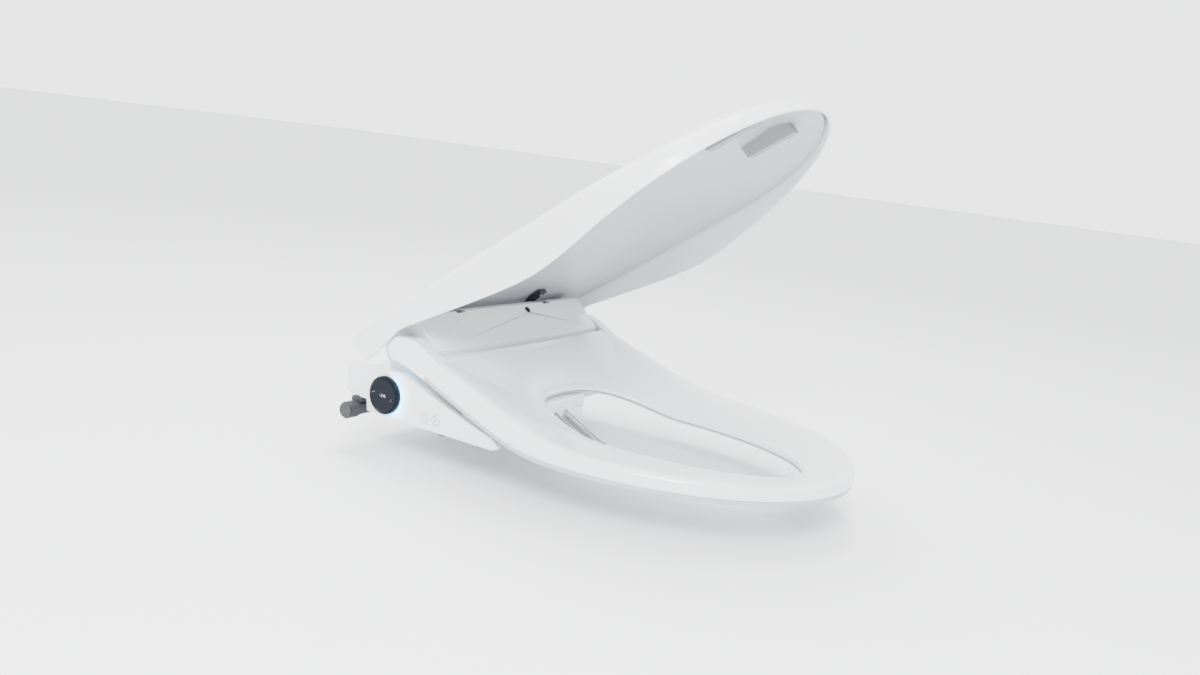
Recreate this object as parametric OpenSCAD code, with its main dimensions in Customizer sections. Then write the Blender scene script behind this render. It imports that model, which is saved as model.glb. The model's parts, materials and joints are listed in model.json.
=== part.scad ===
// Electric bidet seat: heated seat ring and lid on a rear unit with side controls.
// Origin: midway between the two fixing bolts, on the toilet's rim plane (z = 0).
// The nose points to -Y, the controls are on the -X side, +Z is up.

/* [Overall] */
// Half of the seat's greatest width
half_w = 190; // [186:1:194]
// How far the seat's nose lies ahead of the fixing bolts
nose = 470; // [455:1:480]
// How far the rear unit reaches behind the fixing bolts
rear = 56; // [52:1:60]
// Centre distance of the two fixing bolts
bolt_pitch = 140; // [130:1:160]

/* [Hinge] */
// Height of the shared hinge axis above the rim plane
hinge_z = 80; // [78:1:82]
// Y of the shared hinge axis
hinge_y = -18; // [-20:1:-16]
// Angle of the lid above its closed position, as modelled
lid_open = 46.5; // [30:0.5:60]
// Radius of the rounded back of the rear unit, about the hinge axis
barrel_r = 36; // [34:0.5:36.5]

/* [Seat ring] */
// Half width of the opening
open_half_w = 92; // [86:1:96]
// How far the opening's front end lies ahead of the bolts
open_front = 418; // [410:1:425]
// How far the opening's rear end lies ahead of the bolts
open_rear = 113; // [111:1:116]
// Wall of the moulded shells
wall = 3; // [2.5:0.1:3.2]

/* [Controls] */
// Diameter of the rotary dial over its ring
dial_d = 42; // [38:1:43]
// Diameter of the two push buttons
button_d = 11; // [9:0.5:12]

/* [Nozzles] */
// Diameter of each spray nozzle
nozzle_d = 11; // [9:0.5:12]
// Downward slope of the nozzles
nozzle_tilt = 25; // [23:0.5:27]
// How far the rear-wash nozzle stands out of its box
rear_reach = 71; // [55:1:71]
// How far the front-wash nozzle stands out of its box
front_reach = 55.5; // [45:0.5:58]

/* [Hidden] */
$fn = 48;

// ---- plan outlines and heights shared by the seat ring and the lid ----
wide_y = -220;          // where the seat ring is widest
lid_wide_y = -284;      // where the lid is widest
lid_nose = nose + 14;   // from the fixing bolts to the tip of the lid
notch_y = -59;          // rear edge of the ring between its two ears
ear_in = 166;           // inner face of an ear
ear_out = 183;          // outer face of an ear
lid_rear_y = -2;        // rear edge of the lid between its cheeks
front_n = 15;           // steps along a quarter of the nose
side_n = 9;             // steps along a side
back_n = 9;             // steps along half of the rear edge
half_n = front_n + side_n + back_n;

function soft_ramp(y, from, slope, blend) =
    slope * ((y - from) + sqrt((y - from) * (y - from) + blend * blend)) / 2;
function smooth(t) = let(s = min(1, max(0, t))) s * s * (3 - 2 * s);
function crest_z(y) = 25.5 + soft_ramp(y, -212, 0.37, 40);
function under_z(y) = 4.3 + soft_ramp(y, -188, 0.375, 28);
function lid_rim_z(y) = min(92, crest_z(y) + 1.5);
function lid_side_z(y) = 44 + soft_ramp(y, -400, 0.205, 60);

// Half of a plan outline, from the nose to the middle of the rear edge
function half_outline(wide, tip, back_y, back_half, grow) = concat(
    [for (i = [0 : front_n - 1]) let(a = 90 * i / front_n)
        [(half_w + grow) * sin(a), wide - (tip + grow + wide) * cos(a)]],
    [for (i = [0 : side_n - 1]) let(y = wide + (back_y - wide) * i / side_n,
        w = half_w + grow - (half_w - back_half) * pow(i / side_n, 1.5))
        [w, y]],
    [for (i = [0 : back_n]) [back_half * (1 - i / back_n), back_y]]
);

// Half of the opening, with the same number of points
open_mid = -235;
function half_opening() = concat(
    [for (i = [0 : front_n + 3]) let(a = 90 * i / (front_n + 4))
        [open_half_w * sin(a), open_mid - (open_front + open_mid) * cos(a)]],
    [for (i = [0 : side_n + back_n - 4]) let(a = 90 * i / (side_n + back_n - 4))
        [open_half_w * pow(cos(a), 2 / 2.3), open_mid - (open_rear + open_mid) * pow(sin(a), 2 / 2.3)]]
);

// Mirrors a half outline into the full closed loop
function full_loop(h) = concat(h, [for (i = [len(h) - 2 : -1 : 1]) [-h[i][0], h[i][1]]]);

ring_out = full_loop(half_outline(wide_y, nose, notch_y, ear_out, 0));
ring_in = full_loop(half_opening());
lid_out = full_loop(half_outline(lid_wide_y, lid_nose, lid_rear_y, half_w - 0.5, -0.3));
loop_n = len(ring_out);

// Faces of a closed tube of m-point sections, one for each point of a loop
function tube_faces(m, n) = [for (i = [0 : n - 1], j = [0 : m - 1], h = [0, 1])
    let(a = i * m + j, b = i * m + (j + 1) % m,
        c = ((i + 1) % n) * m + (j + 1) % m, d = ((i + 1) % n) * m + j)
    h == 0 ? [a, b, c] : [a, c, d]];

// Height of the lip round the opening, and of its underside
function lip_z(y) = 13 + 17 * smooth((y + 235) / (235 - open_rear));
function lip_under_z(y) = 5 + 19.8 * smooth((y + 235) / (235 - open_rear));

// A point between the ring's outside and its opening, t from 0 to 1 and d mm further in
function ring_pt(i, t, d) = let(a = ring_out[i], b = ring_in[i], l = norm(b - a),
    s = t + d / l) a + (b - a) * s;
function top_z(i, t) = let(zo = crest_z(ring_out[i][1]), zi = lip_z(ring_in[i][1]))
    zo + (zi - zo) * pow(t, 1.15);
function seam_z(i) = under_z(ring_out[i][1]) + 5;
function seam_in_z(i) = lip_under_z(ring_in[i][1]) + 3;
function at(p, z) = [p[0], p[1], z];

function top_section(i) = let(zo = crest_z(ring_out[i][1]), zi = lip_z(ring_in[i][1]), w = wall)
    [at(ring_pt(i, 0, 0), seam_z(i)),
     at(ring_pt(i, 0, 0), zo - 9),
     at(ring_pt(i, 0, 2), zo - 3.5),
     at(ring_pt(i, 0, 8), top_z(i, 0.04)),
     at(ring_pt(i, 0.3, 0), top_z(i, 0.3)),
     at(ring_pt(i, 0.6, 0), top_z(i, 0.6)),
     at(ring_pt(i, 0.85, 0), top_z(i, 0.85)),
     at(ring_pt(i, 1, -1.2), zi - 1.2),
     at(ring_pt(i, 1, 0), seam_in_z(i)),
     at(ring_pt(i, 1, -w), seam_in_z(i)),
     at(ring_pt(i, 0.85, -w), top_z(i, 0.85) - w),
     at(ring_pt(i, 0.6, 0), top_z(i, 0.6) - w),
     at(ring_pt(i, 0.3, 0), top_z(i, 0.3) - w),
     at(ring_pt(i, 0, 9), top_z(i, 0.04) - w),
     at(ring_pt(i, 0, w), zo - 9),
     at(ring_pt(i, 0, w), seam_z(i))];

function bottom_section(i) = let(zo = under_z(ring_out[i][1]), zi = lip_under_z(ring_in[i][1]))
    [at(ring_pt(i, 0, 0.6), zo + 1),
     at(ring_pt(i, 0, 0.6), zo + 4.6),
     at(ring_pt(i, 0, wall), zo + 4.6),
     at(ring_pt(i, 0, wall), zo + 2.6),
     at(ring_pt(i, 1, -wall), zi + 2.2),
     at(ring_pt(i, 1, 0), zi + 2.2),
     at(ring_pt(i, 1, 0), zi + 0.4),
     at(ring_pt(i, 1, -1.2), zi),
     at(ring_pt(i, 0, 2.4), zo)];

module ring_tube(sections) {
    m = len(sections[0]);
    polyhedron([for (s = sections, p = s) p], tube_faces(m, len(sections)), convexity = 6);
}

// Places a solid drawn in the side view (y, z) between two x values
module side_extrude(x0, x1) {
    translate([x0, 0, 0]) rotate([90, 0, 90]) linear_extrude(x1 - x0) children();
}
module both_sides() {
    children();
    mirror([1, 0, 0]) children();
}
module on_hinge() {
    translate([0, hinge_y, hinge_z]) children();
}
module axle_x(x0, x1, r) {
    translate([x0, 0, 0]) rotate([0, 90, 0]) cylinder(h = x1 - x0, r = r);
}
// Turns the lid's parts from closed to their modelled angle
module lid_pose() {
    on_hinge() rotate([-lid_open, 0, 0]) translate([0, -hinge_y, -hinge_z]) children();
}
function arc(r, a0, a1, n) = [for (i = [0 : n]) let(a = a0 + (a1 - a0) * i / n)
    [r * cos(a), r * sin(a)]];
function moved(pts, dy, dz) = [for (p = pts) [p[0] + dy, p[1] + dz]];

// ---- fixing plate ----
plate_flange = 105;     // half width of the flange that the unit's rails slide on
plate_half_y = 22;      // half depth of the plate
bolt_r = 4;             // radius of a bolt's shank
bolt_l = 42;            // free length of a bolt below the rim plane

module bolt_places() {
    for (sx = [-1, 1]) translate([sx * bolt_pitch / 2, 0, 0]) children();
}

module mounting_plate() {
    color("gainsboro") difference() {
        union() {
            translate([-plate_flange + 4, -plate_half_y, 0])
                cube([2 * plate_flange - 8, 2 * plate_half_y, 3]);
            translate([-plate_flange, -plate_half_y, 3])
                cube([2 * plate_flange, 2 * plate_half_y, 2]);
        }
        bolt_places() translate([0, 0, -1]) cylinder(h = 8, r = bolt_r + 1.4);
        bolt_places() translate([0, 0, 1.9]) cylinder(h = 4, r = 9.3);
    }
}

module mounting_bolts() {
    color("silver") bolt_places() {
        translate([0, 0, 2]) cylinder(h = 2.8, r = 9);
        translate([0, 0, -bolt_l]) cylinder(h = bolt_l + 2, r = bolt_r);
    }
}

// ---- rear unit: shells ----
unit_half = 172;        // half width of the unit inside its side panels
hump_half = 163;        // half width of the raised part between the seat's ears
floor_z = 6;            // underside of the base
part_z = 14;            // joint between base and cover
deck_z = 43;            // low deck behind the hump
front_y = -98;          // front wall under the seat
face_y = -56.5;         // foot of the sloping face behind the ring
back_y = rear - 2;      // rear wall
arm_x = 87;             // middle of a lid arm
box_x0 = -38;           // sides of the nozzle box
box_x1 = 39;
box_front_y = -125;     // front face of the nozzle box
box_top_z = 23.5;

// Side view of the hump, w mm inside its outer skin
function hump_profile(w) = concat(
    [[front_y + w, part_z - w * 2], [front_y + w, 24 - w * 0.6], [face_y + w, 48 - w * 0.6],
     [face_y + w, 83 - w * 0.3]],
    moved(arc(barrel_r - w, 97, -46, 26), hinge_y, hinge_z),
    [[10 - w, deck_z + 4 - w * 0.4], [14 - w * 0.5, deck_z - w], [back_y - w - 3, deck_z - w],
     [back_y - w, deck_z - w - 3], [back_y - w, part_z - w * 2]]
);
function shoulder_profile(w) = [
    [front_y + w, part_z - w * 2], [front_y + w, 22 - w * 0.6], [-60 + w, 38 - w * 0.6],
    [-50 + w, deck_z - w], [back_y - w - 3, deck_z - w], [back_y - w, deck_z - w - 3],
    [back_y - w, part_z - w * 2]
];

module arm_slots() {
    sector = concat([[0, 0]], arc(46, -34, 99.5, 18));
    both_sides() side_extrude(arm_x - 8, arm_x + 8) polygon(moved(sector, hinge_y, hinge_z));
}

module top_cover() {
    color("white") difference() {
        union() {
            side_extrude(-hump_half, hump_half) polygon(hump_profile(0));
            side_extrude(-unit_half, unit_half) polygon(shoulder_profile(0));
        }
        side_extrude(-hump_half + wall, hump_half - wall) polygon(hump_profile(wall));
        side_extrude(-unit_half + wall, unit_half - wall) polygon(shoulder_profile(wall));
        arm_slots();
        on_hinge() axle_x(-200, 200, 5.05);
        translate([box_x0 - 0.3, front_y - 1, 0]) cube([box_x1 - box_x0 + 0.6, 12, 24.5]);
        sensor_place() cylinder(h = 12, r = 4.05, center = true);
        for (x = [rear_x, front_x]) nozzle_axis(x)
            translate([0, 0, -60]) cylinder(h = 40, r = nozzle_d / 2 + 0.5);
        gland_place() translate([0, 0, back_y - 6]) cylinder(h = 10, r = 6.05);
    }
}

module base_tray() {
    depth = back_y - front_y;
    color("white") difference() {
        union() {
            difference() {
                translate([-unit_half, front_y, floor_z])
                    cube([2 * unit_half, depth, part_z - floor_z - 0.2]);
                translate([-unit_half + wall, front_y + wall, floor_z + wall])
                    cube([2 * unit_half - 2 * wall, depth - 2 * wall, 20]);
            }
            both_sides() {
                translate([plate_flange + 0.6, -plate_half_y, 0.8]) cube([4, 2 * plate_half_y, floor_z]);
                translate([plate_flange - 3, -plate_half_y, 0.8]) cube([6, 2 * plate_half_y, 1.8]);
            }
        }
        translate([box_x0 - 0.3, front_y - 1, 0]) cube([box_x1 - box_x0 + 0.6, 5, 40]);
        translate([-unit_half - 1, inlet_y - 22, floor_z - 1]) cube([44, 46, 20]);
        screw_places() cylinder(h = 10, r = 1.55, center = true);
    }
}

// Side view of a side panel: a wedge that runs forward under the ring
function panel_outline() = concat(
    [[-158, 3.5], [-150, 1], [22, 1], [24, 14], [50, 15], [back_y + 1, 19], [back_y + 1, 44]],
    moved(arc(8, 0, 90, 6), back_y - 7, deck_z + 1),
    [[-22, deck_z + 10]],
    [for (i = [0 : 8]) let(y = -34 - 14.5 * i) [y, min(deck_z + 8, under_z(y) - 12.5 + 6 * pow(i / 8, 2))]],
    [[-159, 6]]
);

panel_out = 178;        // outer face of the side panels
panel_in = unit_half + 0.3;

module plain_side_panel() {
    color("white") side_extrude(panel_in, panel_out) polygon(panel_outline());
}

dial_y = -4;            // dial centre
dial_z = 25.2;
button_at = [[-60, 13], [-76, 14]];   // y and z of the two push buttons
led_at = [[-58, 22.5], [-77, 22.5]];  // y and z of the two status lights

module on_panel(p) {
    translate([-panel_out, p[0], p[1]]) rotate([0, -90, 0]) children();
}

module control_side_panel() {
    color("white") difference() {
        mirror([1, 0, 0]) side_extrude(panel_in, panel_out) polygon(panel_outline());
        on_panel([dial_y, dial_z]) translate([0, 0, -2]) cylinder(h = 5, r = dial_d / 2 + 2.4);
        on_panel([dial_y, dial_z]) translate([0, 0, -10]) cylinder(h = 20, r = 6.3);
        for (p = button_at) on_panel(p) translate([0, 0, -10]) cylinder(h = 20, r = button_d / 2 + 0.3);
        for (p = led_at) on_panel(p) translate([0, 0, -10]) cylinder(h = 20, r = 1.65);
    }
}

module halo_light_ring() {
    color("paleturquoise") on_panel([dial_y, dial_z]) translate([0, 0, -2]) difference() {
        cylinder(h = 2.8, r = dial_d / 2 + 2.3);
        translate([0, 0, -1]) cylinder(h = 6, r = dial_d / 2 + 0.3);
    }
}

module led_lenses() {
    color("lime") for (p = led_at) on_panel(p) translate([0, 0, -5]) cylinder(h = 5.4, r = 1.6);
}

module dial_ring() {
    color("whitesmoke") on_panel([dial_y, dial_z]) translate([0, 0, -1.6]) difference() {
        union() {
            cylinder(h = 6.6, r = dial_d / 2 - 0.6);
            translate([0, 0, 1.8]) cylinder(h = 4.2, r = dial_d / 2);
        }
        translate([0, 0, -1]) cylinder(h = 10, r = dial_d / 2 - 1.8);
    }
}

module dial_face() {
    color("darkslategray") on_panel([dial_y, dial_z]) {
        translate([0, 0, 0.6]) cylinder(h = 4.6, r = dial_d / 2 - 2.1);
        translate([0, 0, 5.2]) cylinder(h = 0.8, r1 = dial_d / 2 - 2.1, r2 = dial_d / 2 - 3.6);
        translate([0, 0, -4]) cylinder(h = 4.8, r = 6);
    }
}

module push_button(p) {
    on_panel(p) {
        translate([0, 0, -4.3]) cylinder(h = 5.5, r = button_d / 2);
        translate([0, 0, 1.2]) cylinder(h = 0.5, r1 = button_d / 2, r2 = button_d / 2 - 0.8);
    }
}
module rear_button() { color("white") push_button(button_at[0]); }
module front_button() { color("white") push_button(button_at[1]); }

foot_at = [[135, -70], [135, 40], [-128, -70], [-117.5, 42]];
module rubber_feet() {
    color("dimgray") for (p = foot_at) translate([p[0], p[1], 0]) {
        cylinder(h = floor_z, r = 9);
        cylinder(h = 2, r = 11);
    }
}

module screw_places() {
    both_sides() for (y = [-85, 14]) translate([118, y, floor_z]) children();
}
module housing_screws() {
    color("silver") screw_places() {
        translate([0, 0, -2]) difference() {
            cylinder(h = 2, r = 3.5);
            translate([0, 0, -1]) cylinder(h = 2, r = 1.6, $fn = 6);
        }
        cylinder(h = 6, r = 1.5);
    }
}

// The sensor looks out of the sloping face, beside the middle
module sensor_place() {
    face_a = atan2(hinge_z + barrel_r - 83, hinge_y - 4 - face_y);
    translate([38, face_y, 83]) rotate([face_a, 0, 0]) translate([0, 39, 0]) children();
}
module sensor_window() {
    color("dimgray") sensor_place() {
        translate([0, 0, -4]) cylinder(h = 4.6, r = 4);
    }
}

// ---- hinge line ----
module hinge_shafts() {
    color("silver") both_sides() on_hinge() {
        axle_x(arm_x - 12, ear_out - 1, 5);
        axle_x(arm_x - 14, arm_x - 12, 7);
    }
}
module damper() {
    on_hinge() difference() {
        union() {
            axle_x(102, 152, 13);
            translate([102, -6, -22]) cube([50, 12, 14]);
        }
        axle_x(100, 154, 5.05);
    }
}
module seat_damper() { color("dimgray") damper(); }
module lid_damper() { color("dimgray") mirror([1, 0, 0]) damper(); }

// ---- nozzles and warm air ----
rear_x = 1;             // middle of the rear-wash nozzle
front_x = -21;          // middle of the front-wash nozzle
nozzle_start_z = 4;     // height of the nozzles' axes at the box's front face
tip_l = 16;             // length of a spray head
rear_l = 135;           // whole length of each nozzle
front_l = 119;

// Frame of a nozzle: Z runs out of the box, zero at the front face
module nozzle_axis(x) {
    translate([x, box_front_y, nozzle_start_z]) rotate([90 + nozzle_tilt, 0, 0]) children();
}

module nozzle_box() {
    color("white") difference() {
        side_extrude(box_x0, box_x1) polygon([[box_front_y, -4], [box_front_y, box_top_z - 2],
            [box_front_y + 2, box_top_z], [-100, box_top_z], [-94, 21], [-62, 36],
            [-62, 9.5], [front_y + 1, 9.5], [front_y - 3, -4]]);
        nozzle_axis(rear_x) translate([0, 0, -160]) cylinder(h = 200, r = nozzle_d / 2 + 0.3);
        nozzle_axis(front_x) translate([0, 0, -160]) cylinder(h = 200, r = nozzle_d / 2 + 0.3);
        translate([16, box_front_y - 1, 12]) cube([19, 70, 8.5]);
        translate([14.6, box_front_y - 1, 10]) cube([21.8, 2.6, 12]);
    }
}

module spray_nozzle(x, reach, l) {
    nozzle_axis(x) translate([0, 0, reach - l]) cylinder(h = l - tip_l, r = nozzle_d / 2);
}
module spray_tip(x, reach, holes) {
    nozzle_axis(x) translate([0, 0, reach - tip_l]) difference() {
        union() {
            cylinder(h = tip_l - 2, r = nozzle_d / 2);
            translate([0, 0, tip_l - 2]) cylinder(h = 2, r1 = nozzle_d / 2, r2 = nozzle_d / 2 - 1.6);
        }
        translate([-3.5, 2.9, tip_l - 12]) cube([7, 4, 8]);
        for (i = [0 : holes - 1]) translate([0, 1.2, tip_l - 8 + (i - (holes - 1) / 2) * 2.4])
            rotate([-90, 0, 0]) cylinder(h = 6, r = 0.6);
    }
}
module rear_nozzle() { color("silver") spray_nozzle(rear_x, rear_reach, rear_l); }
module rear_nozzle_tip() { color("silver") spray_tip(rear_x, rear_reach, 1); }
module front_nozzle() { color("silver") spray_nozzle(front_x, front_reach, front_l); }
module front_nozzle_tip() { color("silver") spray_tip(front_x, front_reach, 3); }

module nozzle_motors() {
    color("silver") for (y = [-40, -70]) translate([-52.5, y, 20]) {
        rotate([0, 90, 0]) cylinder(h = 14, r = 10);
        translate([-5, 0, 0]) rotate([0, 90, 0]) cylinder(h = 5, r = 2.5);
    }
}

module dryer_duct() {
    color("gainsboro") difference() {
        side_extrude(14.5, 40) polygon([[-61.7, floor_top], [-61.7, 22], [-50.3, 27], [-50.3, floor_top]]);
        side_extrude(16, 38) polygon([[-70, 11.5], [-70, 20], [-40, 25], [-40, 11.5]]);
    }
}

module air_blower() {
    color("gainsboro") difference() {
        union() {
            translate([40, -4, floor_top]) cylinder(h = 26, r = 25);
            translate([15, -50, floor_top]) cube([25, 46, 18]);
        }
        translate([40, -4, 12]) cylinder(h = 30, r = 12);
        translate([18, -53, 12]) cube([19, 40, 13]);
    }
}

flap_top_z = 21.2;
module dryer_flap() {
    color("white") {
        translate([15.2, box_front_y + 0.1, 11]) cube([20.6, 1.2, 9.6]);
        translate([0, box_front_y + 0.7, flap_top_z]) axle_x(15.2, 35.8, 0.7);
    }
}

// ---- water, power and electronics inside the unit ----
inlet_y = 37;           // middle of the water inlet
inlet_z = 0.5;
gland_x = 150;          // middle of the mains lead's gland
gland_z = 27;

floor_top = floor_z + wall;
module rounded_block(p, s, r) {
    translate(p) linear_extrude(s[2]) union() {
        translate([r, 0]) square([s[0] - 2 * r, s[1]]);
        translate([0, r]) square([s[0], s[1] - 2 * r]);
        for (x = [r, s[0] - r], y = [r, s[1] - r]) translate([x, y]) circle(r);
    }
}

module water_heater_tank() {
    color("lightgray") {
        rounded_block([-112, -30, floor_top], [46, 72, 28], 8);
        translate([-89, -30, 24]) rotate([90, 0, 0]) cylinder(h = 10, r = 4);
    }
}
module solenoid_valve() {
    color("dimgray") {
        rounded_block([-154, -24, floor_top], [26, 26, 16], 3);
        translate([-141, -11, floor_top + 16]) cylinder(h = 12, r = 9);
    }
}
module supply_hose() {
    color("lightgray") {
        translate([-141, 2, 17]) rotate([-90, 0, 0]) cylinder(h = 29, r = 4);
        translate([-141, 31, 17]) sphere(4);
        translate([-141, 31, inlet_z + 5.3]) cylinder(h = 17 - inlet_z - 5.3, r = 4);
    }
}
module control_board() {
    color("seagreen") translate([102, 4, 16]) cube([50, 36, 1.6]);
    color("black") for (i = [0 : 2]) translate([107 + 15 * i, 12, 17.6]) cube([10, 12, 4]);
}
module power_module() {
    color("dimgray") rounded_block([102, -60, floor_top], [48, 34, 22], 3);
}
module deodoriser_cartridge() {
    color("darkgray") difference() {
        rounded_block([-62, 8, floor_top], [48, 34, 26], 4);
        for (i = [0 : 5]) translate([-56 + 7 * i, 5, 14]) cube([3, 6, 18]);
    }
}
module inlet_valve_body() {
    color("dimgray") {
        translate([0, inlet_y, inlet_z]) axle_x(-180.5, -152, 8);
        translate([-152, inlet_y - 11, inlet_z - 8.5]) cube([22, 22, 13.8]);
    }
}
module inlet_bracket() {
    color("gray") {
        translate([-180.4, inlet_y - 7, inlet_z + 8]) cube([10, 14, 5.2]);
        translate([0, inlet_y, inlet_z + 13.2]) axle_x(-180.4, -178.4, 2);
    }
}
module inlet_filter() {
    color("silver") translate([0, inlet_y, inlet_z]) axle_x(-188, -180.5, 6);
}
cap_x = -181;
module inlet_cap() {
    color("gray") translate([0, inlet_y, inlet_z]) difference() {
        union() {
            axle_x(cap_x - 14, cap_x, 9.4);
            axle_x(cap_x - 15.5, cap_x - 14, 8.4);
        }
        axle_x(cap_x - 12, cap_x + 1, 6.3);
        for (i = [0 : 19]) rotate([18 * i, 0, 0]) translate([0, 9.8, 0]) axle_x(cap_x - 12.5, cap_x - 2, 0.9);
    }
}
// Z runs out of the rear wall
module gland_place() {
    translate([gland_x, 0, gland_z]) rotate([-90, 0, 0]) children();
}
module power_gland() {
    color("dimgray") gland_place() difference() {
        union() {
            translate([0, 0, back_y - 8]) cylinder(h = 12, r = 6);
            translate([0, 0, back_y + 0.3]) cylinder(h = 3, r = 8);
        }
        translate([0, 0, back_y - 10]) cylinder(h = 20, r = 3.5);
    }
}

// ---- seat ring ----
// Side view of an ear, which carries the ring on the hinge shaft
function ear_outline() = concat(
    [[-78, under_z(-78) + 5.4], [-78, crest_z(-78) - 6], [-59, crest_z(-59) - 2],
     [-46, 92], [-38, 94.5], [-30, 94]],
    moved(arc(14, 75, -90, 12), hinge_y, hinge_z),
    [[-34, under_z(-34)], [-57.5, under_z(-57.5)], [-58, under_z(-58) + 5.4]]
);

module seat_top_shell() {
    color("white") difference() {
        union() {
            ring_tube([for (i = [0 : loop_n - 1]) top_section(i)]);
            both_sides() side_extrude(ear_in, ear_out) polygon(ear_outline());
        }
        on_hinge() axle_x(-200, 200, 7.05);
    }
}
module seat_bottom_shell() {
    color("whitesmoke") ring_tube([for (i = [0 : loop_n - 1]) bottom_section(i)]);
}
function heater_section(i) = [for (q = [[0.18, 4], [0.4, 4], [0.62, 4], [0.62, 4.8], [0.4, 4.8], [0.18, 4.8]])
    at(ring_pt(i, q[0], 0), top_z(i, q[0]) - q[1])];
module seat_heater() {
    color("orange") ring_tube([for (i = [0 : loop_n - 1]) heater_section(i)]);
}
bumper_at = [[150, -190], [112, -372]];
module seat_bumpers() {
    color("gainsboro") both_sides() for (p = bumper_at)
        translate([p[0], p[1], 0]) cylinder(h = under_z(p[1]) + 1.2, r = 8);
}
module seat_hinge_bushes() {
    color("dimgray") both_sides() on_hinge() difference() {
        axle_x(ear_in - 1.5, ear_out - 0.3, 7);
        axle_x(ear_in - 3, ear_out + 1, 5.06);
    }
}

// ---- lid, drawn closed ----
lid_c = [0, -200];      // point that the lid's shells are swept round
lid_t = [1, 1, 0.985, 0.95, 0.9, 0.85, 0.76, 0.6, 0.32];
function lid_pt(i, t) = lid_c + (lid_out[i] - lid_c) * t;
function dome_h(y) = 12 + 12 * smooth((-60 - y) / 200);
function lid_arch_z(p, t) = lid_side_z(p[1])
    + dome_h(p[1]) * (1 - pow(abs(p[0]) / half_w, 2)) * smooth((1 - t) * 5);
function lid_top_z(i, t) = lid_arch_z(lid_pt(i, t), t) - (t > 0.99 ? 7 : t > 0.97 ? 2.6 : 0);
arc_gap = 2.7;          // room between the barrel and the lid's inner panel
function over_barrel(y, r) = abs(y - hinge_y) < r
    ? hinge_z + sqrt(r * r - (y - hinge_y) * (y - hinge_y)) : 0;
panel_drop = 6.5;       // from the lid's top face to the inner panel's lower face
function panel_low_z(p, t) = max(lid_arch_z(p, t) - panel_drop,
    over_barrel(p[1], barrel_r + arc_gap));

// The rim's height, raised between the ears to pass over the barrel
function lid_edge_z(p) = abs(p[0]) > ear_out ? lid_rim_z(p[1])
    : max(lid_rim_z(p[1]), over_barrel(p[1], barrel_r + arc_gap));
function lid_shell_section(i) = let(o = lid_out[i]) concat(
    [at(o, lid_edge_z(o))],
    [for (j = [1 : len(lid_t) - 1]) at(lid_pt(i, lid_t[j]), lid_top_z(i, lid_t[j]))]);
function shrink(p, d) = let(v = p - lid_c) lid_c + v * (1 - d / norm(v));
function lid_under_section(i) = let(o = lid_out[i], w = wall) concat(
    [for (j = [len(lid_t) - 1 : -1 : 1]) let(p = lid_pt(i, lid_t[j]), q = t_in(p, lid_t[j]))
        at(q, max(lid_top_z(i, lid_t[j]) - (j == 1 ? 1.2 : j == 2 ? w + 0.4 : w), lid_edge_z(o) + 0.6))],
    [at(shrink(o, w), lid_edge_z(o))]);
function t_in(p, t) = t > 0.9 ? shrink(p, wall) : p;

// A closed dish: sections join in a ring and meet in one point above and one below
module dish(sections, m, top_c, low_c) {
    n = len(sections);
    k = len(sections[0]);
    pts = concat([for (s = sections, p = s) p], [top_c, low_c]);
    side = [for (i = [0 : n - 1], j = [0 : k - 1], h = [0, 1]) if (j != m - 1)
        let(a = i * k + j, b = i * k + (j + 1) % k,
            c = ((i + 1) % n) * k + (j + 1) % k, d = ((i + 1) % n) * k + j)
        h == 0 ? [a, b, c] : [a, c, d]];
    caps = [for (i = [0 : n - 1], h = [0, 1]) let(i2 = (i + 1) % n)
        h == 0 ? [i * k + m - 1, n * k, i2 * k + m - 1] : [i * k + m, i2 * k + m, n * k + 1]];
    polyhedron(pts, concat(side, caps), convexity = 6);
}

cheek_in = ear_out + 2.3;
function cheek_outline() = [[-60, lid_rim_z(-60)], [-44, lid_rim_z(-44)], [-36, 92], [19, 92],
    [24, 96], [25, 104], [25, 120], [23, 124], [18, 126], [-10, 119], [-60, 108]];

module lid_outer_shell() {
    color("white") lid_pose() {
        dish([for (i = [0 : loop_n - 1]) concat(lid_shell_section(i), lid_under_section(i))],
            len(lid_t), at(lid_c, lid_arch_z(lid_c, 0)), at(lid_c, lid_arch_z(lid_c, 0) - wall));
        both_sides() side_extrude(cheek_in, half_w - 0.7) polygon(cheek_outline());
    }
}

panel_t = [0.9, 0.85, 0.76, 0.6, 0.32];
function on_arch(p, t) = [p, panel_low_z(p, t)];
function below_side(p, d) = [p, lid_side_z(p[1]) - d];
// Points of the inner panel's lower face; it turns down to meet the skirt, except at the rear
function panel_points(i) = let(o = lid_out[i]) concat(
    o[1] > lid_rear_y - 1 ? [for (t = [0.955, 0.94]) on_arch(shrink(lid_pt(i, t), 3.4), t)]
        : [below_side(shrink(o, 4), 12.2), below_side(shrink(o, 7), 8.6)],
    [for (t = panel_t) on_arch(shrink(lid_pt(i, t), 3.4), t)]);
function panel_section(i) = let(q = panel_points(i), m = len(q)) concat(
    [for (j = [0 : m - 1]) at(q[j][0], q[j][1] + 2)],
    [for (j = [m - 1 : -1 : 0]) at(q[j][0], q[j][1])]);
module lid_inner_panel() {
    z = panel_low_z(lid_c, 0);
    color("whitesmoke") lid_pose() difference() {
        dish([for (i = [0 : loop_n - 1]) panel_section(i)],
            len(panel_t) + 2, at(lid_c, z + 2), at(lid_c, z));
        both_sides() translate([cheek_in - 0.3, -60.3, 80]) cube([8, 64, 50]);
    }
}

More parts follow.
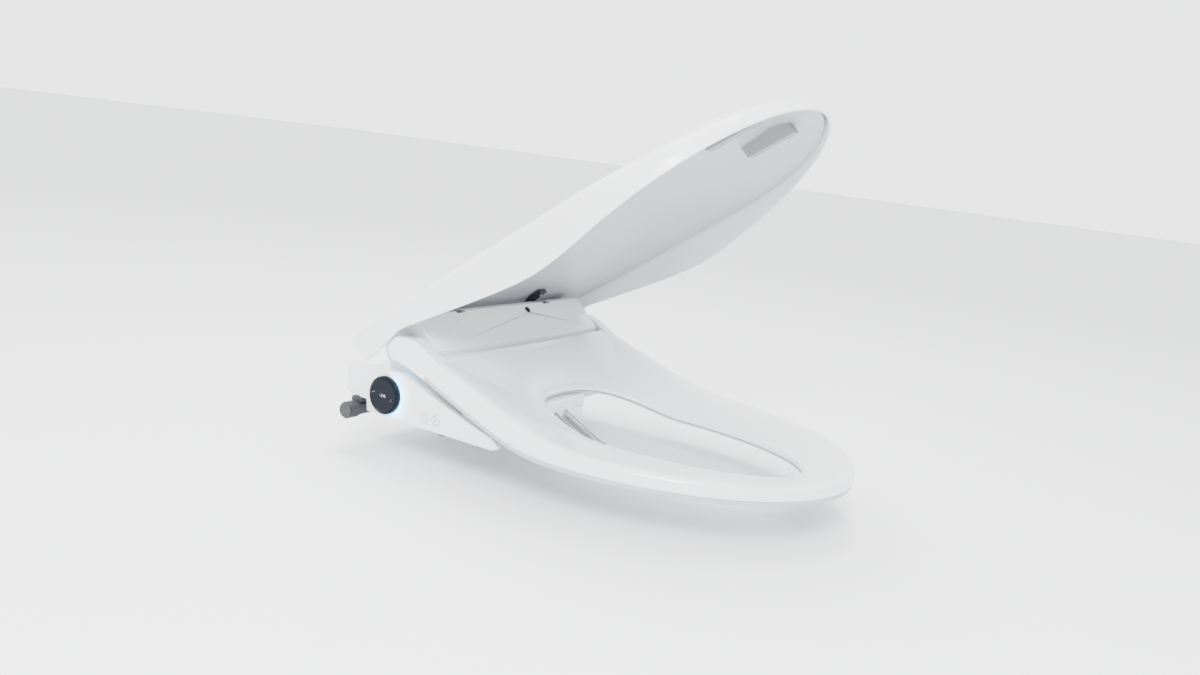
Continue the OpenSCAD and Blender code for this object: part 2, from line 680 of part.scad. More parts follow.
// Share of the way from the lid's centre to its edge at p, in the front half
function lid_share(p) = let(d = p - lid_c, g = lid_c[1] - lid_wide_y, w = half_w, l = lid_nose + lid_wide_y,
    a = pow(d[0] / w, 2) + pow(d[1] / l, 2), b = 2 * d[1] * g / (l * l), c = pow(g / l, 2) - 1)
    2 * a / (sqrt(b * b - 4 * a * c) - b);
bumper_x = 46;          // inner face of a lid bumper
bumper_w = 14;
function bumper_root(y) = let(p = [bumper_x + bumper_w / 2, y]) lid_arch_z(p, lid_share(p)) - 5.6;
module lid_bumpers() {
    color("lightgray") lid_pose() both_sides() side_extrude(bumper_x, bumper_x + bumper_w)
        polygon(concat([[-440, 42], [-383, 55]], [for (y = [-383 : -9.5 : -440]) [y, bumper_root(y)]]));
}

// Side view of an arm's foot, about the hinge axis
arm_foot = [[11, 36.9], [0, 38.2], [-15, 40.6], [-34, 38], [-34, 33], [-14, 35], [0, 36.8], [11, 35]];
arm_screw_at = [[-8, 35.2, 39], [-27, 32.5, 38.4]];     // y, lower and upper end
module arm_screws(r, more) {
    for (s = arm_screw_at) translate([arm_x, s[0], s[1] - more]) cylinder(h = s[2] - s[1] + 2 * more, r = r);
}
module lid_hinge_arms() {
    color("gray") lid_pose() both_sides() on_hinge() difference() {
        union() {
            axle_x(arm_x - 6, arm_x + 6, 9);
            translate([arm_x - 6, -5, 4]) cube([12, 10, 33.2]);
            side_extrude(arm_x - 7, arm_x + 7) polygon(arm_foot);
        }
        axle_x(arm_x - 10, arm_x + 10, 5.06);
        arm_screws(2.05, 2);
    }
}
module lid_arm_screws() {
    color("silver") lid_pose() both_sides() on_hinge() arm_screws(2, 0);
}

mounting_plate();
mounting_bolts();
base_tray();
top_cover();
control_side_panel();
plain_side_panel();
rubber_feet();
housing_screws();
halo_light_ring();
led_lenses();
sensor_window();
hinge_shafts();
seat_damper();
lid_damper();
nozzle_box();
nozzle_motors();
dryer_duct();
air_blower();
dryer_flap();
water_heater_tank();
solenoid_valve();
supply_hose();
control_board();
power_module();
deodoriser_cartridge();
inlet_valve_body();
inlet_bracket();
inlet_filter();
inlet_cap();
power_gland();
dial_ring();
dial_face();
rear_button();
front_button();
rear_nozzle();
rear_nozzle_tip();
front_nozzle();
front_nozzle_tip();
seat_top_shell();
seat_bottom_shell();
seat_heater();
seat_bumpers();
seat_hinge_bushes();
lid_outer_shell();
lid_inner_panel();
lid_bumpers();
lid_hinge_arms();
lid_arm_screws();
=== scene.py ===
"""Electric bidet seat: the looks of the CAD frame.

The ring and the lid are drawn in mm, in the frame of the CAD source, and MM turns them into metres.
Lights, camera, floor and material scales are in metres.
"""
import json
import math
import bpy
from mathutils import Matrix, Vector


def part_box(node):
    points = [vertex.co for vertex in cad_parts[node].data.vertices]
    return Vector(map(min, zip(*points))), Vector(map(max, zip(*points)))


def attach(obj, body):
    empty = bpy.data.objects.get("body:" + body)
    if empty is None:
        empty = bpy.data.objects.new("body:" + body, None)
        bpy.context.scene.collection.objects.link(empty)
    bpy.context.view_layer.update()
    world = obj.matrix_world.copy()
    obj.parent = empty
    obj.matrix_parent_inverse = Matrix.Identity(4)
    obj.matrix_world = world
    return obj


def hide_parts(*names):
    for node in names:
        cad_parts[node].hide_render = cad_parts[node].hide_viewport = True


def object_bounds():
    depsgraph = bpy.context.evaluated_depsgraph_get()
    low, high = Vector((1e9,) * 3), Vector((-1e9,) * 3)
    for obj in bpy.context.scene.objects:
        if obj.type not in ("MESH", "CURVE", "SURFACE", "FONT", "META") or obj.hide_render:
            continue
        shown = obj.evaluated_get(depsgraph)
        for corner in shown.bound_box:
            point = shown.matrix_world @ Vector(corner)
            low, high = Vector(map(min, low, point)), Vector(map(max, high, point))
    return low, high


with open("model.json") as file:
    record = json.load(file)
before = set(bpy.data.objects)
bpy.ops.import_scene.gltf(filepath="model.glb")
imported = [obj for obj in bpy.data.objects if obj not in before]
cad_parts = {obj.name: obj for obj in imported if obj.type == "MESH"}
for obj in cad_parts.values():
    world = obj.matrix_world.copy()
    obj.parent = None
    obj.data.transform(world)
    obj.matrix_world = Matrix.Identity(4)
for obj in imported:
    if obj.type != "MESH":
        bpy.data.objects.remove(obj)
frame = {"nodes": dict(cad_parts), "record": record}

MM = 0.001
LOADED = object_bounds()

# ---- outlines and heights of the CAD source, in mm ----
HALF_W, NOSE, WIDE_Y, LID_NOSE, LID_WIDE_Y = 190, 470, -220, 484, -284
NOTCH_Y, EAR_IN, EAR_OUT, LID_REAR_Y = -59, 166, 183, -2
OPEN_HALF_W, OPEN_FRONT, OPEN_REAR, OPEN_MID = 92, 418, 113, -235
FRONT_N, SIDE_N, BACK_N = 15, 9, 9
HALF_N = FRONT_N + SIDE_N + BACK_N
WALL, BARREL_R, ARC_GAP = 3, 36, 2.7
HINGE = Vector((0, -18, 80))
LID_OPEN = 46.5
LID_C = Vector((0, -200))  # the lid's sections run in to this point
DOME_REAR, DOME_RISE = 12, 12  # height of the lid's dome at the rear, and how much more it has in front
FINE = 5  # sections for each one of the CAD's
WELD_GAP = 0.00002


def soft_ramp(y, start, slope, soft):
    """Zero before start and a straight slope after it, with a rounded corner."""
    return slope * ((y - start) + math.hypot(y - start, soft)) / 2


def smooth(t):
    t = min(1, max(0, t))
    return t * t * (3 - 2 * t)


def crest_z(y):
    return 25.5 + soft_ramp(y, -212, 0.37, 40)


def under_z(y):
    return 4.3 + soft_ramp(y, -188, 0.375, 28)


def lid_rim_z(y):
    return min(92, crest_z(y) + 1.5)


def lid_side_z(y):
    return 44 + soft_ramp(y, -400, 0.205, 60)


def lip_z(y):
    return 13 + 17 * smooth((y - OPEN_MID) / (-OPEN_MID - OPEN_REAR))


def lip_under_z(y):
    return 5 + 19.8 * smooth((y - OPEN_MID) / (-OPEN_MID - OPEN_REAR))


def outline(k, wide, tip, back_y, back_half, grow):
    """A point on half of a plan outline; k runs from 0 at the nose to HALF_N at the rear middle."""
    if k <= FRONT_N:
        a = math.radians(90 * k / FRONT_N)
        return Vector(((HALF_W + grow) * math.sin(a), wide - (tip + grow + wide) * math.cos(a)))
    if k < FRONT_N + SIDE_N:
        s = (k - FRONT_N) / SIDE_N
        return Vector((HALF_W + grow - (HALF_W - back_half) * s ** 1.5, wide + (back_y - wide) * s))
    return Vector((back_half * (1 - (k - FRONT_N - SIDE_N) / BACK_N), back_y))


def opening(k):
    """A point on half of the ring's opening, with the same count as outline()."""
    front = FRONT_N + 4
    if k <= front:
        a = math.radians(90 * k / front)
        return Vector((OPEN_HALF_W * math.sin(a), OPEN_MID - (OPEN_FRONT + OPEN_MID) * math.cos(a)))
    a = math.radians(90 * (k - front) / (HALF_N - front))
    power = 2 / 2.3
    return Vector((OPEN_HALF_W * max(0, math.cos(a)) ** power,
                   OPEN_MID - (OPEN_REAR + OPEN_MID) * math.sin(a) ** power))


def full_loop(section):
    """section(k) gives a list of points; the other half is its mirror image."""
    half = [section(j / FINE) for j in range(HALF_N * FINE + 1)]
    return half + [[Vector((-p.x, p.y, p.z)) for p in s] for s in half[-2:0:-1]]


def new_mesh(name, verts, faces, slot, body, stands_for=(), pose=None, sharp=38):
    """An object from points in mm; it rides on body and may replace CAD nodes."""
    mesh = bpy.data.meshes.new(name)
    points = [(pose @ Vector(v) if pose else Vector(v)) * MM for v in verts]
    mesh.from_pydata(points, [], faces)
    mesh.validate()
    mesh.shade_smooth()
    mesh.set_sharp_from_angle(angle=math.radians(sharp))
    obj = bpy.data.objects.new(name, mesh)
    bpy.context.scene.collection.objects.link(obj)
    mesh.materials.append(MATERIALS[slot])
    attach(obj, body)
    if stands_for:
        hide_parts(*stands_for)
    return obj


def tube(sections):
    """A closed tube: the sections join in a ring, and each one is a closed loop of points."""
    n, m = len(sections), len(sections[0])
    faces = [(i * m + j, i * m + (j + 1) % m, ((i + 1) % n) * m + (j + 1) % m, ((i + 1) % n) * m + j)
             for i in range(n) for j in range(m)]
    return [p for s in sections for p in s], faces


def dish(sections, top_n, top_c, low_c):
    """A closed dish: each section has top_n points above, inwards, then the lower ones, outwards."""
    n, m = len(sections), len(sections[0])
    verts, faces = tube(sections)
    faces = [f for i, f in enumerate(faces) if i % m != top_n - 1]
    verts = verts + [Vector(top_c), Vector(low_c)]
    for i in range(n):
        k = (i + 1) % n
        faces.append((i * m + top_n - 1, n * m, k * m + top_n - 1))
        faces.append((i * m + top_n, k * m + top_n, n * m + 1))
    return verts, faces


def slab(side, x0, x1):
    """A solid drawn in the side view (y, z) between two x values."""
    n = len(side)
    verts = [Vector((x, y, z)) for x in (x0, x1) for y, z in side]
    faces = [tuple(range(n)), tuple(range(2 * n - 1, n - 1, -1))]
    faces += [(j, j + n, (j + 1) % n + n, (j + 1) % n) for j in range(n)]
    return verts, faces


def joined(*parts):
    verts, faces = [], []
    for v, f in parts:
        faces += [tuple(i + len(verts) for i in face) for face in f]
        verts += v
    return verts, faces


def mirrored(part):
    verts, faces = part
    return [Vector((-v.x, v.y, v.z)) for v in verts], [tuple(reversed(f)) for f in faces]


def rounded(obj, width, angle=35, steps=4):
    bevel = obj.modifiers.new("edges", "BEVEL")
    bevel.width = width * MM
    bevel.segments = steps
    bevel.limit_method = "ANGLE"
    bevel.angle_limit = math.radians(angle)
    bevel.harden_normals = True
    return obj


# ---- materials ----
def node(tree, kind, **sockets):
    n = tree.nodes.new(kind)
    for key, value in sockets.items():
        n.inputs[key.replace("_", " ")].default_value = value
    return n


def material(name, color, rough, metal=0.0, coat=0.0, grain=400.0, bump=0.03, vary=0.06, stretch=(1, 1, 1),
             gloss=0.5):
    """A plastic or metal with a fine grain in its roughness, tone and surface."""
    mat = bpy.data.materials.new(name)
    mat.use_nodes = True
    tree = mat.node_tree
    shader = tree.nodes["Principled BSDF"]
    shader.inputs["Metallic"].default_value = metal
    shader.inputs["Specular IOR Level"].default_value = gloss
    shader.inputs["Coat Weight"].default_value = coat
    shader.inputs["Coat Roughness"].default_value = 0.06
    place = tree.nodes.new("ShaderNodeTexCoord")
    scale = tree.nodes.new("ShaderNodeMapping")
    scale.inputs["Scale"].default_value = stretch
    fine = node(tree, "ShaderNodeTexNoise", Scale=grain, Detail=3.0)
    broad = node(tree, "ShaderNodeTexNoise", Scale=grain / 40, Detail=2.0)
    ramp = tree.nodes.new("ShaderNodeMapRange")
    ramp.inputs["To Min"].default_value = rough * (1 - 2 * vary)
    ramp.inputs["To Max"].default_value = rough * (1 + 2 * vary)
    tone = tree.nodes.new("ShaderNodeMix")
    tone.data_type = "RGBA"
    tone.inputs[6].default_value = (*[c * (1 - vary / 2) for c in color], 1)
    tone.inputs[7].default_value = (*[min(1, c * (1 + vary / 2)) for c in color], 1)
    relief = node(tree, "ShaderNodeBump", Strength=bump, Distance=0.0004)
    link = tree.links.new
    link(place.outputs["Object"], scale.inputs["Vector"])
    for noise in (fine, broad):
        link(scale.outputs["Vector"], noise.inputs["Vector"])
    link(broad.outputs["Fac"], ramp.inputs["Value"])
    link(broad.outputs["Fac"], tone.inputs["Factor"])
    link(fine.outputs["Fac"], relief.inputs["Height"])
    link(ramp.outputs["Result"], shader.inputs["Roughness"])
    link(tone.outputs[2], shader.inputs["Base Color"])
    link(relief.outputs["Normal"], shader.inputs["Normal"])
    return mat


def glowing(mat, color, strength):
    shader = mat.node_tree.nodes["Principled BSDF"]
    shader.inputs["Emission Color"].default_value = (*color, 1)
    shader.inputs["Emission Strength"].default_value = strength
    return mat


WHITE = (0.76, 0.77, 0.79)
MATERIALS = {
    "gloss_white": material("gloss_white", WHITE, 0.2, coat=0.3, bump=0.02),
    # The satin white's dark tone is painted shade: it darkens the lid's lining and the ring's lower shell,
    # and any part in this slot, which lie in shade under the lid and the ring; the satin roughness is their
    # own finish.
    "satin_white": material("satin_white", (0.42, 0.43, 0.45), 0.36, bump=0.05),
    "bumper_grey": material("bumper_grey", (0.25, 0.26, 0.27), 0.6, bump=0.12),
    "dark_face": material("dark_face", (0.005, 0.007, 0.011), 0.34, bump=0.01, gloss=0.1),
    "light_guide": glowing(material("light_guide", (0.55, 0.9, 1.0), 0.3), (0.25, 0.8, 1.0), 5.0),
    "led_green": glowing(material("led_green", (0.1, 0.8, 0.3), 0.3), (0.01, 0.8, 0.1), 3.0),
    "grey_plastic": material("grey_plastic", (0.03, 0.032, 0.036), 0.45, bump=0.15, gloss=0.35),
    "chrome": material("chrome", (0.5, 0.51, 0.53), 0.1, metal=1.0, bump=0.01, vary=0.15),
    "steel": material("steel", (0.55, 0.55, 0.56), 0.3, metal=1.0, bump=0.06, stretch=(1, 1, 12)),
    "foot_rubber": material("foot_rubber", (0.03, 0.03, 0.032), 0.75, bump=0.25),
    "plate_plastic": material("plate_plastic", (0.58, 0.58, 0.59), 0.5, bump=0.12),
    "print_white": material("print_white", (0.8, 0.82, 0.85), 0.5),
    "print_grey": material("print_grey", (0.1, 0.11, 0.13), 0.5),
    "board_green": material("board_green", (0.01, 0.11, 0.04), 0.4),
    "heater_foil": material("heater_foil", (0.6, 0.42, 0.2), 0.35, metal=0.8),
}


def halo_material(name, centre, inner, reach, strength):
    """Gloss white with the dial's cyan glow as emission, strongest towards the nose (-Y): on the side panel
    this is painted light, the ring's glow falling on the panel; on the light ring it is the ring's own light.
    """
    mat = material(name, WHITE, 0.2, coat=0.3, bump=0.02)
    tree = mat.node_tree
    link = tree.links.new
    place = tree.nodes.new("ShaderNodeTexCoord")
    rel = tree.nodes.new("ShaderNodeVectorMath")
    rel.operation = "SUBTRACT"
    rel.inputs[1].default_value = centre
    flat = tree.nodes.new("ShaderNodeVectorMath")
    flat.operation = "MULTIPLY"
    flat.inputs[1].default_value = (0, 1, 1)
    size = tree.nodes.new("ShaderNodeVectorMath")
    size.operation = "LENGTH"
    fall = tree.nodes.new("ShaderNodeMapRange")
    fall.interpolation_type = "SMOOTHSTEP"
    fall.inputs["From Min"].default_value = inner
    fall.inputs["From Max"].default_value = inner + reach
    fall.inputs["To Min"].default_value = 1
    fall.inputs["To Max"].default_value = 0
    split = tree.nodes.new("ShaderNodeSeparateXYZ")
    side = tree.nodes.new("ShaderNodeMapRange")
    side.interpolation_type = "SMOOTHSTEP"
    side.inputs["From Min"].default_value = inner * 0.1
    side.inputs["From Max"].default_value = -inner * 0.75
    both = tree.nodes.new("ShaderNodeMath")
    both.operation = "MULTIPLY"
    gain = tree.nodes.new("ShaderNodeMath")
    gain.operation = "MULTIPLY"
    gain.inputs[1].default_value = strength
    link(place.outputs["Object"], rel.inputs[0])
    link(rel.outputs["Vector"], flat.inputs[0])
    link(flat.outputs["Vector"], size.inputs[0])
    link(flat.outputs["Vector"], split.inputs["Vector"])
    link(size.outputs["Value"], fall.inputs["Value"])
    link(split.outputs["Y"], side.inputs["Value"])
    link(fall.outputs["Result"], both.inputs[0])
    link(side.outputs["Result"], both.inputs[1])
    link(both.outputs["Value"], gain.inputs[0])
    shader = tree.nodes["Principled BSDF"]
    shader.inputs["Emission Color"].default_value = (0.0, 0.6, 1.0, 1)
    link(gain.outputs["Value"], shader.inputs["Emission Strength"])
    return mat


# ---- CAD pieces that are shown as they are: their slot's finish, and soft edges in mm ----
SOFT_EDGE = {"top_cover": 1.6, "control_side_panel": 1.6, "plain_side_panel": 1.6, "base_tray": 0.8,
             "nozzle_box": 0.8, "dial_ring": 0.35, "dial_face": 0.3, "rear_button": 0.35,
             "front_button": 0.35, "dryer_flap": 0.2, "inlet_cap": 0.5, "mounting_plate": 0.5,
             "rear_nozzle_tip": 0.15, "front_nozzle_tip": 0.15, "rubber_feet": 0.6,
             "inlet_bracket": 0.4, "inlet_valve_body": 0.6, "lid_hinge_arms": 0.4,
             "sensor_window": 0.2, "mounting_bolts": 0.3, "power_gland": 0.4}
for part in frame["record"]["subparts"]:
    obj = frame["nodes"][part["node"]]
    obj.data.materials.clear()
    obj.data.materials.append(MATERIALS[part["material_slot"]])
    weld = obj.modifiers.new("weld", "WELD")
    weld.merge_threshold = WELD_GAP
    if part["node"] in SOFT_EDGE:
        rounded(obj, SOFT_EDGE[part["node"]], steps=3)

dial_low, dial_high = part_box("dial_ring")
dial_mid = (dial_low + dial_high) / 2
dial_r = (dial_high.z - dial_low.z) / 2
side_panel = frame["nodes"]["control_side_panel"]
# The side panel's cyan crescent round the dial is painted light: emission on the white panel where the light
# ring's glow falls.
side_panel.data.materials[0] = halo_material("gloss_white_painted_glow", dial_mid, dial_r, reach=0.018, strength=5.0)
light_ring = frame["nodes"]["halo_light_ring"]
light_ring.data.materials[0] = halo_material("light_guide_lit", dial_mid, dial_r, reach=0.02, strength=6.0)


# ---- seat ring ----
def ring_point(k):
    """Outer and inner point, the distance between them, and a function of that distance and a height."""
    o, i = outline(k, WIDE_Y, NOSE, NOTCH_Y, EAR_OUT, 0), opening(k)
    length = (i - o).length
    return o, i, length, lambda d, z: Vector((*(o + (i - o) * (d / length)), z))


RING_EDGE_R, RING_LIP_R = 9, 4.5


def ring_top(k):
    """Section of the upper shell: up the outer wall, over the top, down the lip and back inside."""
    o, i, l, at = ring_point(k)
    zo, zi = crest_z(o.y), lip_z(i.y)
    seam, seam_in = under_z(o.y) + 5, lip_under_z(i.y) + 3
    top = lambda t: zo + (zi - zo) * t ** 1.15
    r = RING_EDGE_R
    pts = [at(0.5, seam), at(0, seam + 0.6), at(0, (seam + zo - r) / 2), at(0, zo - r)]
    rise = top(r / l) - zo + r
    for a in range(10, 91, 10):
        c, s = math.cos(math.radians(a)), math.sin(math.radians(a))
        pts.append(at(r * (1 - c), zo - r + rise * s))
    lip = min(RING_LIP_R, top(1 - 4 / l) - seam_in - 0.5)
    for n in range(1, 15):
        t = (r + (l - lip - r) * n / 14) / l
        pts.append(at(t * l, top(t)))
    high = top(1 - lip / l)
    for a in range(15, 91, 15):
        c, s = math.cos(math.radians(a)), math.sin(math.radians(a))
        pts.append(at(l - lip + lip * s, high - lip * (1 - c)))
    pts += [at(l, seam_in), at(l - WALL, seam_in), at(0.85 * l - WALL, top(0.85) - WALL),
            at(0.6 * l, top(0.6) - WALL), at(0.3 * l, top(0.3) - WALL), at(r, top(0.04) - WALL),
            at(WALL, zo - r), at(WALL, seam)]
    return pts


def ring_bottom(k):
    """Section of the lower shell: a shallow tray between the two walls."""
    o, i, l, at = ring_point(k)
    zo, zi = under_z(o.y), lip_under_z(i.y)
    return [at(0.6, zo + 1.4), at(0.6, zo + 4.6), at(WALL, zo + 4.6), at(WALL, zo + 2.6),
            at(l - WALL, zi + 2.2), at(l, zi + 2.2), at(l, zi + 0.4), at(l - 1.2, zi),
            at(2.6, zo), at(1.4, zo + 0.3)]


EAR_R, EAR_TOP_Z, EAR_EDGE = 14, 94.4, 5.5


def ear_side():
    """Side view of an ear, from the ring's crest round the hinge and back along its underside."""
    top = []
    for n in range(21):
        y = -94 + 3 * n
        z = crest_z(y) + 3.4 * smooth((y + 74) / 28) - 9 * (1 - smooth((y + 94) / 26))
        top.append((y, min(z, EAR_TOP_Z)))
    arc = [(HINGE.y + EAR_R * math.cos(math.radians(a)), HINGE.z + EAR_R * math.sin(math.radians(a)))
           for a in range(84, -91, -6)]
    low = [(y, under_z(y)) for y in (-34, -46, -58)] + [(y, under_z(y) + 5.4) for y in (-58.2, -76, -94)]
    return top + arc + low


ear = slab(ear_side(), EAR_IN, EAR_OUT)
new_mesh("seat_ring_top", *tube(full_loop(ring_top)), "gloss_white", "seat", ("seat_top_shell",))
rounded(new_mesh("seat_ring_ears", *joined(ear, mirrored(ear)), "gloss_white", "seat"), EAR_EDGE)
# The lower shell's darker satin white is painted shade under the ring.
new_mesh("seat_ring_base", *tube(full_loop(ring_bottom)), "satin_white", "seat", ("seat_bottom_shell",))


# ---- lid, drawn closed and turned to its modelled angle ----
LID_POSE = (Matrix.Translation(HINGE) @ Matrix.Rotation(math.radians(-LID_OPEN), 4, "X")
            @ Matrix.Translation(-HINGE))
# Shares of the way out to the edge, for the turned edge and for the dome
EDGE_T = [1, 0.997, 0.99, 0.982, 0.974, 0.966, 0.958, 0.95]
DOME_T = [0.935, 0.92, 0.9, 0.875, 0.85, 0.82, 0.79, 0.75, 0.7, 0.64, 0.56, 0.46, 0.34, 0.2, 0.08]


def lid_loop(k):
    return outline(k, LID_WIDE_Y, LID_NOSE, LID_REAR_Y, HALF_W - 0.5, -0.3)


def lid_point(o, t):
    return LID_C + (o - LID_C) * t


def lid_arch_z(p, t):
    dome = DOME_REAR + DOME_RISE * smooth((-60 - p.y) / 200)
    return lid_side_z(p.y) + dome * (1 - (p.x / HALF_W) ** 2) * smooth((1 - t) * 5)


def over_barrel(y, r):
    """Height of a circle of radius r round the hinge axis, where it reaches y."""
    return HINGE.z + math.sqrt(r * r - (y - HINGE.y) ** 2) if abs(y - HINGE.y) < r else 0


def shrink(p, d):
    v = p - LID_C
    return LID_C + v * (1 - d / v.length)


def lid_edge_z(p):
    rim = lid_rim_z(p.y)
    return rim if abs(p.x) > EAR_OUT else max(rim, over_barrel(p.y, BARREL_R + ARC_GAP))


def lid_outer(k):
    """Section of the outer shell: up the skirt, inwards over the dome, then back underneath."""
    o = lid_loop(k)
    edge = lid_edge_z(o)
    top_z = lambda t: lid_arch_z(lid_point(o, t), t) - 7 * max(0, (t - 0.95) / 0.05) ** 2.4
    upper = [Vector((*shrink(o, 0.6), edge)), Vector((*o, edge + 0.7)), Vector((*o, (edge + top_z(1)) / 2))]
    upper += [Vector((*lid_point(o, t), top_z(t))) for t in EDGE_T + DOME_T]
    lower = []
    for t in reversed([0.985, 0.965, 0.95, 0.92] + DOME_T[2:]):
        q = shrink(lid_point(o, t), WALL if t > 0.9 else 0)
        lower.append(Vector((*q, max(top_z(t) - WALL, edge + 0.6))))
    lower.append(Vector((*shrink(o, WALL), max(top_z(1) - 1.2, edge + 0.6))))
    lower += [Vector((*shrink(o, WALL), edge + 0.7)), Vector((*shrink(o, WALL - 0.6), edge))]
    return upper + lower


LID_UPPER_N = 3 + len(EDGE_T) + len(DOME_T)
PANEL_T = DOME_T[2:]
PANEL_DROP, PANEL_THICK, PANEL_GAP = 6.5, 2, 3.4


def lid_panel(k):
    """The inner panel; it turns down to meet the skirt, except along the rear edge."""
    o = lid_loop(k)
    on_arch = lambda p, t: (p, max(lid_arch_z(p, t) - PANEL_DROP, over_barrel(p.y, BARREL_R + ARC_GAP)))
    below_side = lambda p, d: (p, lid_side_z(p.y) - d)
    if o.y > LID_REAR_Y - 1:
        edge = [on_arch(shrink(lid_point(o, t), PANEL_GAP), t) for t in (0.955, 0.95, 0.94)]
    else:
        edge = [below_side(shrink(o, d), drop) for d, drop in ((4.8, 12.2), (5.8, 10.2), (7.4, 8.6))]
    where = edge + [on_arch(shrink(lid_point(o, t), PANEL_GAP), t) for t in PANEL_T]
    return [Vector((*p, z + PANEL_THICK)) for p, z in where] + [Vector((*p, z)) for p, z in reversed(where)]


CHEEK = [(y, lid_rim_z(y)) for y in (-60, -52, -44)] + [
    (-36, 92), (17, 92), (21, 93), (23.5, 96), (25, 101), (25, 118),
    (24, 122), (21.5, 125), (18, 126), (10, 124), (-10, 118.5), (-60, 106)]
CHEEK_EDGE = 1.4
centre_z = lid_arch_z(LID_C, 0)
outer = dish(full_loop(lid_outer), LID_UPPER_N, (*LID_C, centre_z), (*LID_C, centre_z - WALL))
inner = dish(full_loop(lid_panel), len(PANEL_T) + 3, (*LID_C, centre_z - PANEL_DROP + PANEL_THICK),
             (*LID_C, centre_z - PANEL_DROP))
cheek = slab(CHEEK, EAR_OUT + 2.3, HALF_W - 0.7)
new_mesh("lid_shell", *outer, "gloss_white", "lid", ("lid_outer_shell",), LID_POSE)
cheeks = new_mesh("lid_cheeks", *joined(cheek, mirrored(cheek)), "gloss_white", "lid", (), LID_POSE)
rounded(cheeks, CHEEK_EDGE)
# The lining's darker satin white is painted shade inside the lid.
new_mesh("lid_lining", *inner, "satin_white", "lid", ("lid_inner_panel",), LID_POSE)


# ---- generic marks on the dial and the two buttons ----
MARK_LIFT = 0.03


def mark(name, place, strokes, slot, body):
    """Thin raised strokes; each is a list of (y, z) points in mm and a width."""
    x, y0, z0 = place
    verts, faces = [], []
    for points, width in strokes:
        for (ya, za), (yb, zb) in zip(points, points[1:]):
            run = Vector((yb - ya, zb - za)).normalized() * width / 2
            side = Vector((-run.y, run.x))
            corners = [(ya - run.x + side.x, za - run.y + side.y), (yb + run.x + side.x, zb + run.y + side.y),
                       (yb + run.x - side.x, zb + run.y - side.y), (ya - run.x - side.x, za - run.y - side.y)]
            base = len(verts)
            verts += [Vector((x - lift, y0 + y, z0 + z)) for lift in (0.0, MARK_LIFT) for y, z in corners]
            faces += [tuple(base + i for i in f) for f in ((0, 1, 2, 3), (7, 6, 5, 4), (0, 4, 5, 1),
                                                          (1, 5, 6, 2), (2, 6, 7, 3), (3, 7, 4, 0))]
    return new_mesh(name, verts, faces, slot, body)


def circle(r, y=0.0, z=0.0, start=0, end=360, steps=24):
    return [(y + r * math.cos(math.radians(start + (end - start) * i / steps)),
             z + r * math.sin(math.radians(start + (end - start) * i / steps))) for i in range(steps + 1)]


def on_face(name):
    """Middle of a control's outer face, just inside its surface."""
    low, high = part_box(name)
    return low.x / MM - 0.02, (low.y + high.y) / 2 / MM, (low.z + high.z) / 2 / MM


mark("dial_marks", on_face("dial_face"), [
    (circle(1.5, 3.4, 0), 0.45), ([(1.4, -1.6), (-0.2, 1.8)], 0.4),
    ([(-1.2, -1.2), (-2.6, 1.2), (-4.0, -1.2)], 0.5),
    (circle(2.2, 14.2, 3.0, 200, 300, 8), 0.5), (circle(1.1, -12.6, -2.2), 0.4)], "print_white", "dial_face")
mark("rear_button_marks", on_face("rear_button"), [(circle(4.3), 0.45), ([(0, -1.6), (0, 1.8)], 0.6)],
     "print_grey", "rear_button")
mark("front_button_marks", on_face("front_button"), [
    (circle(4.3), 0.45), ([(-0.6, 2.2), (-0.6, -0.8)], 0.6), (circle(1.0, 0.4, -0.9, 0, 360, 12), 0.45)],
    "print_grey", "front_button")


# ---- stage, light and camera ----
def area_light(name, place, target, size, power, tint=(1, 1, 1)):
    data = bpy.data.lights.new(name, "AREA")
    data.shape = "DISK"
    data.size = size
    data.energy = power
    data.color = tint
    lamp = bpy.data.objects.new(name, data)
    bpy.context.scene.collection.objects.link(lamp)
    lamp.location = place
    lamp.rotation_euler = (Vector(target) - Vector(place)).to_track_quat("-Z", "Y").to_euler()


FLOOR_SIZE, FLOOR_DROP = 60, 0.004
floor_z = LOADED[0][2] - FLOOR_DROP
bpy.ops.mesh.primitive_plane_add(size=FLOOR_SIZE, location=(0, 0, floor_z))
floor = bpy.context.object
floor.name = "floor"
floor.data.materials.append(material("floor", (0.82, 0.825, 0.84), 0.8, grain=60.0, bump=0.02, vary=0.02))


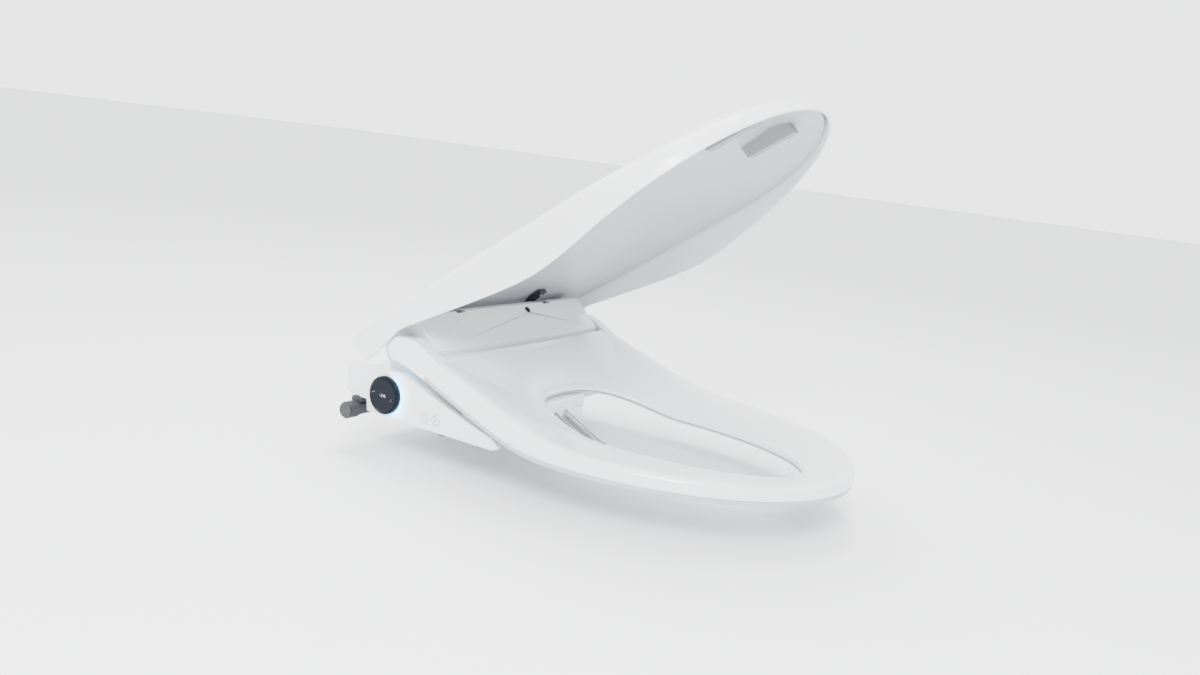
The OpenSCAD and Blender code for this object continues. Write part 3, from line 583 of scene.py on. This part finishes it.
def studio_world(bright_from, dim, bright):
    """A plain soft surround: dim in front of the object, bright above and behind it."""
    world = bpy.data.worlds.new("studio")
    world.use_nodes = True
    tree = world.node_tree
    place = tree.nodes.new("ShaderNodeTexCoord")
    along = tree.nodes.new("ShaderNodeVectorMath")
    along.operation = "DOT_PRODUCT"
    along.inputs[1].default_value = Vector(bright_from).normalized()
    ramp = tree.nodes.new("ShaderNodeMapRange")
    ramp.interpolation_type = "SMOOTHSTEP"
    ramp.inputs["From Min"].default_value = -0.6
    ramp.inputs["From Max"].default_value = 0.45
    ramp.inputs["To Min"].default_value = dim
    ramp.inputs["To Max"].default_value = bright
    tree.links.new(place.outputs["Generated"], along.inputs[0])
    tree.links.new(along.outputs["Value"], ramp.inputs["Value"])
    tree.nodes["Background"].inputs["Color"].default_value = (0.97, 0.98, 1.0, 1)
    tree.links.new(ramp.outputs["Result"], tree.nodes["Background"].inputs["Strength"])
    bpy.context.scene.world = world


studio_world((0.5, 0.6, 0.62), 0.4, 3.4)
middle = (0, -0.2, 0.1)
area_light("key", (-1.6, -0.9, 1.3), middle, 0.8, 84)
area_light("fill", (-0.7, -2.0, 0.9), middle, 1.2, 16, (0.95, 0.97, 1))
area_light("top", (0.3, 0.2, 1.9), middle, 0.9, 46)

# The camera looks at the near side from the front left, a little from above
AZIMUTH, ELEVATION, ROLL = -60.0, 10.4, 7.4
CAMERA_AT = Vector((-0.9812, -0.7254, 0.3126))
a, e = math.radians(AZIMUTH), math.radians(ELEVATION)
back = Vector((math.sin(a) * math.cos(e), -math.cos(a) * math.cos(e), math.sin(e)))
right = (-back).cross(Vector((0, 0, 1))).normalized()
up = right.cross(-back)
turn = Matrix((right, up, back)).transposed() @ Matrix.Rotation(math.radians(ROLL), 3, "Z")
camera_data = bpy.data.cameras.new("camera")
camera_data.sensor_width = 36
camera_data.lens = 30
camera_data.clip_end = 100
camera = bpy.data.objects.new("camera", camera_data)
bpy.context.scene.collection.objects.link(camera)
camera.matrix_world = Matrix.Translation(CAMERA_AT) @ turn.to_4x4()
bpy.context.scene.camera = camera
